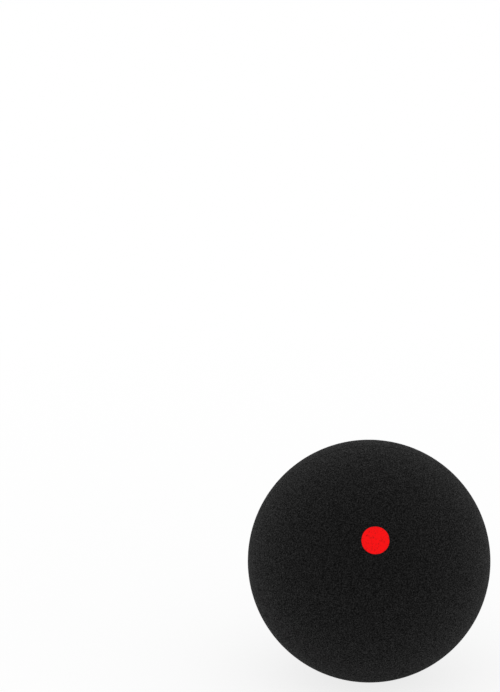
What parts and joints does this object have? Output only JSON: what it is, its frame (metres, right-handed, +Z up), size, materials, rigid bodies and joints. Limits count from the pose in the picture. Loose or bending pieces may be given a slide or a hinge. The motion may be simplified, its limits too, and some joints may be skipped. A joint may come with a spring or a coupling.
{
  "type": "squash ball",
  "caption": "Hollow matt black rubber ball for squash, made of moulded half-shells bonded at a flush seam, with a printed red speed dot.",
  "frame": {"origin": "the ball's centre, which is also the centre of the round air chamber", "axes": "+Z up as the ball lies in the picture; -Y towards the viewer, on the side with the speed dot; +Y is the half-shells' own axis, square to the seam, which lies in the XZ plane"},
  "size_m": [0.04, 0.04, 0.04],
  "materials": {
    "buffed_rubber": "matte",
    "cured_adhesive": "satin",
    "red_ink": "matte"
  },
  "bodies": {
    "root": {"front_half_shell": "buffed_rubber", "rear_half_shell": "buffed_rubber", "bond_seam": "cured_adhesive", "speed_dot": "red_ink"}
  },
  "joints": []
}
